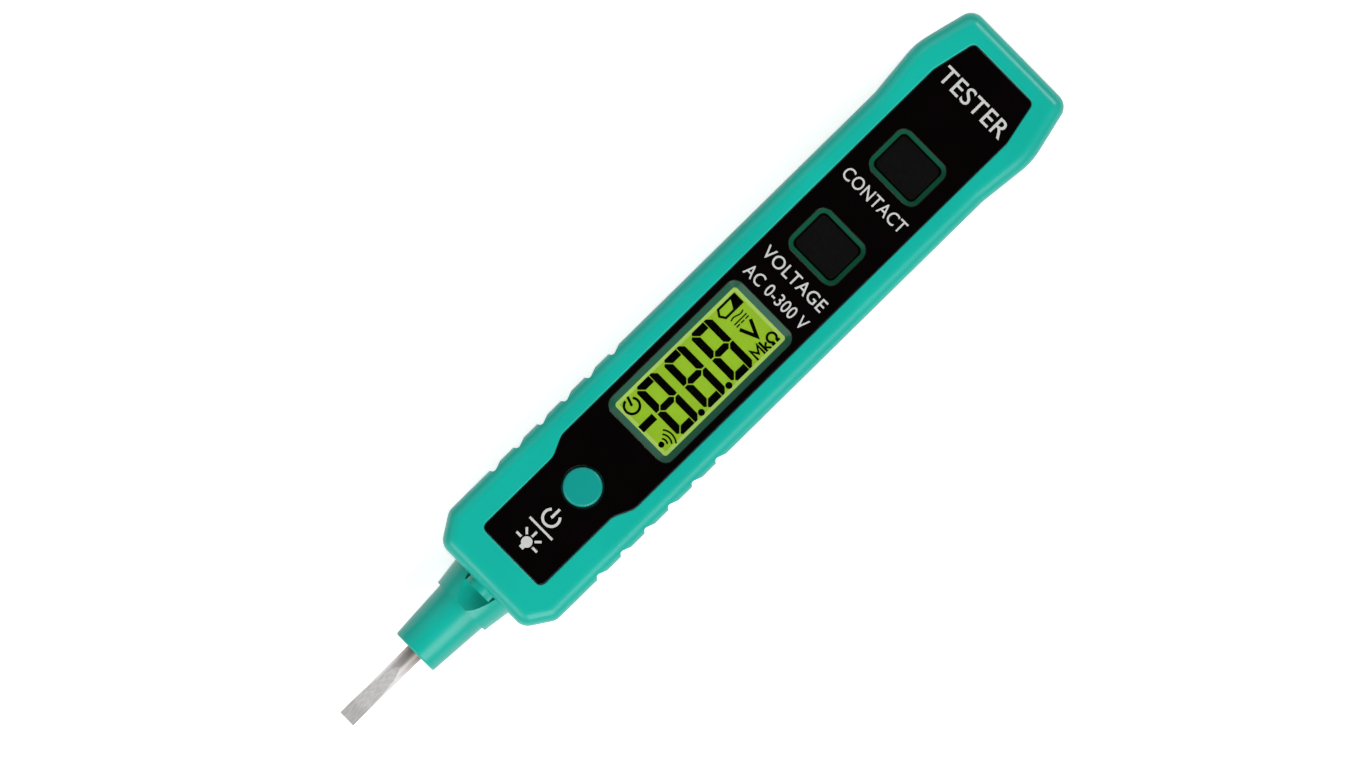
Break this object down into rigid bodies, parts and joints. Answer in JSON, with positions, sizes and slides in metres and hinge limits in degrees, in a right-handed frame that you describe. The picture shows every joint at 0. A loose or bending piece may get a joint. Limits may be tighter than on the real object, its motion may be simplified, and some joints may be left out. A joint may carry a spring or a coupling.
{
  "type": "voltage tester pen",
  "caption": "Pen-shaped voltage tester with a screwdriver blade, LED torch, backlit display, power button, touch pads and a sliding battery cover.",
  "frame": {"origin": "middle of the outer box, on the flat back that the tester lies on", "axes": "+X along the tester from the blade's tip to the rear end, +Y across it, +Z from the back to the display face"},
  "size_m": [0.15, 0.0262, 0.0194],
  "materials": {
    "casing": "satin teal ABS",
    "button": "satin teal ABS, a shade greyer",
    "blade_steel": "ground nickel-plated steel",
    "label": "gloss black printed polycarbonate",
    "window": "clear acrylic",
    "lcd": "liquid crystal glass, yellow-green when lit",
    "foam": "closed-cell foam",
    "white_plastic": "white acrylic and ABS",
    "led_plastic": "clear epoxy",
    "strips": "layered silicone",
    "board": "green solder mask on glass epoxy",
    "black_epoxy": "black epoxy",
    "ceramic": "glazed ceramic",
    "tinned": "tin or nickel plate",
    "spring_steel": "nickel-plated spring wire",
    "screw_steel": "zinc-plated steel",
    "plunger": "black nylon",
    "key_rubber": "carbon-filled conductive rubber",
    "cells": "printed sleeve on a steel can"
  },
  "bodies": {
    "casing": {"front_shell": "casing", "rear_shell": "casing", "nose_sleeve": "casing", "blade": "blade_steel", "probe_contact": "tinned", "torch_led": "led_plastic", "torch_led_leads": "tinned", "faceplate": "label", "display_window": "window", "display_gasket": "foam", "lcd_panel": "lcd", "display_frame": "white_plastic", "backlight_guide": "white_plastic", "backlight_leds": "led_plastic", "contact_strips": "strips", "main_board": "board", "controller_chip": "black_epoxy", "controller_pins": "tinned", "board_capacitors": "ceramic", "board_resistors": "black_epoxy", "crystal": "tinned", "safety_resistor": "ceramic", "buzzer": "black_epoxy", "tact_switch": "black_epoxy", "voltage_pad_spring": "spring_steel", "continuity_pad_spring": "spring_steel", "battery_left": "cells", "battery_right": "cells", "battery_spring_front": "spring_steel", "battery_spring_rear": "spring_steel", "battery_plate_positive": "tinned", "battery_plate_negative": "tinned", "battery_link_plate": "tinned", "shell_screws": "screw_steel", "board_screws": "screw_steel"},
    "power_button": {"power_button": "button"},
    "tact_plunger": {"tact_plunger": "plunger"},
    "voltage_pad": {"voltage_pad": "key_rubber"},
    "continuity_pad": {"continuity_pad": "key_rubber"},
    "battery_cover": {"battery_cover": "casing"}
  },
  "joints": [
    {"name": "power_button_press", "type": "slide", "parent": "casing", "child": "power_button", "axis": [0, 0, -1], "range_m": [0, 0.0004], "stiffness_N_per_m": 800, "springref_m": -0.0005},
    {"name": "tact_plunger_press", "type": "slide", "parent": "casing", "child": "tact_plunger", "axis": [0, 0, -1], "range_m": [0, 0.0004]},
    {"name": "voltage_pad_press", "type": "slide", "parent": "casing", "child": "voltage_pad", "axis": [0, 0, -1], "range_m": [0, 0.0004], "stiffness_N_per_m": 600, "springref_m": -0.0005, "deforming": ["voltage_pad_spring"]},
    {"name": "continuity_pad_press", "type": "slide", "parent": "casing", "child": "continuity_pad", "axis": [0, 0, -1], "range_m": [0, 0.0004], "stiffness_N_per_m": 600, "springref_m": -0.0005, "deforming": ["continuity_pad_spring"]},
    {"name": "battery_cover_slide", "type": "slide", "parent": "casing", "child": "battery_cover", "axis": [1, 0, 0], "range_m": [0, 0.053]}
  ],
  "couplings": [
    {"joint": "tact_plunger_press", "follows": "power_button_press", "ratio": 1}
  ]
}
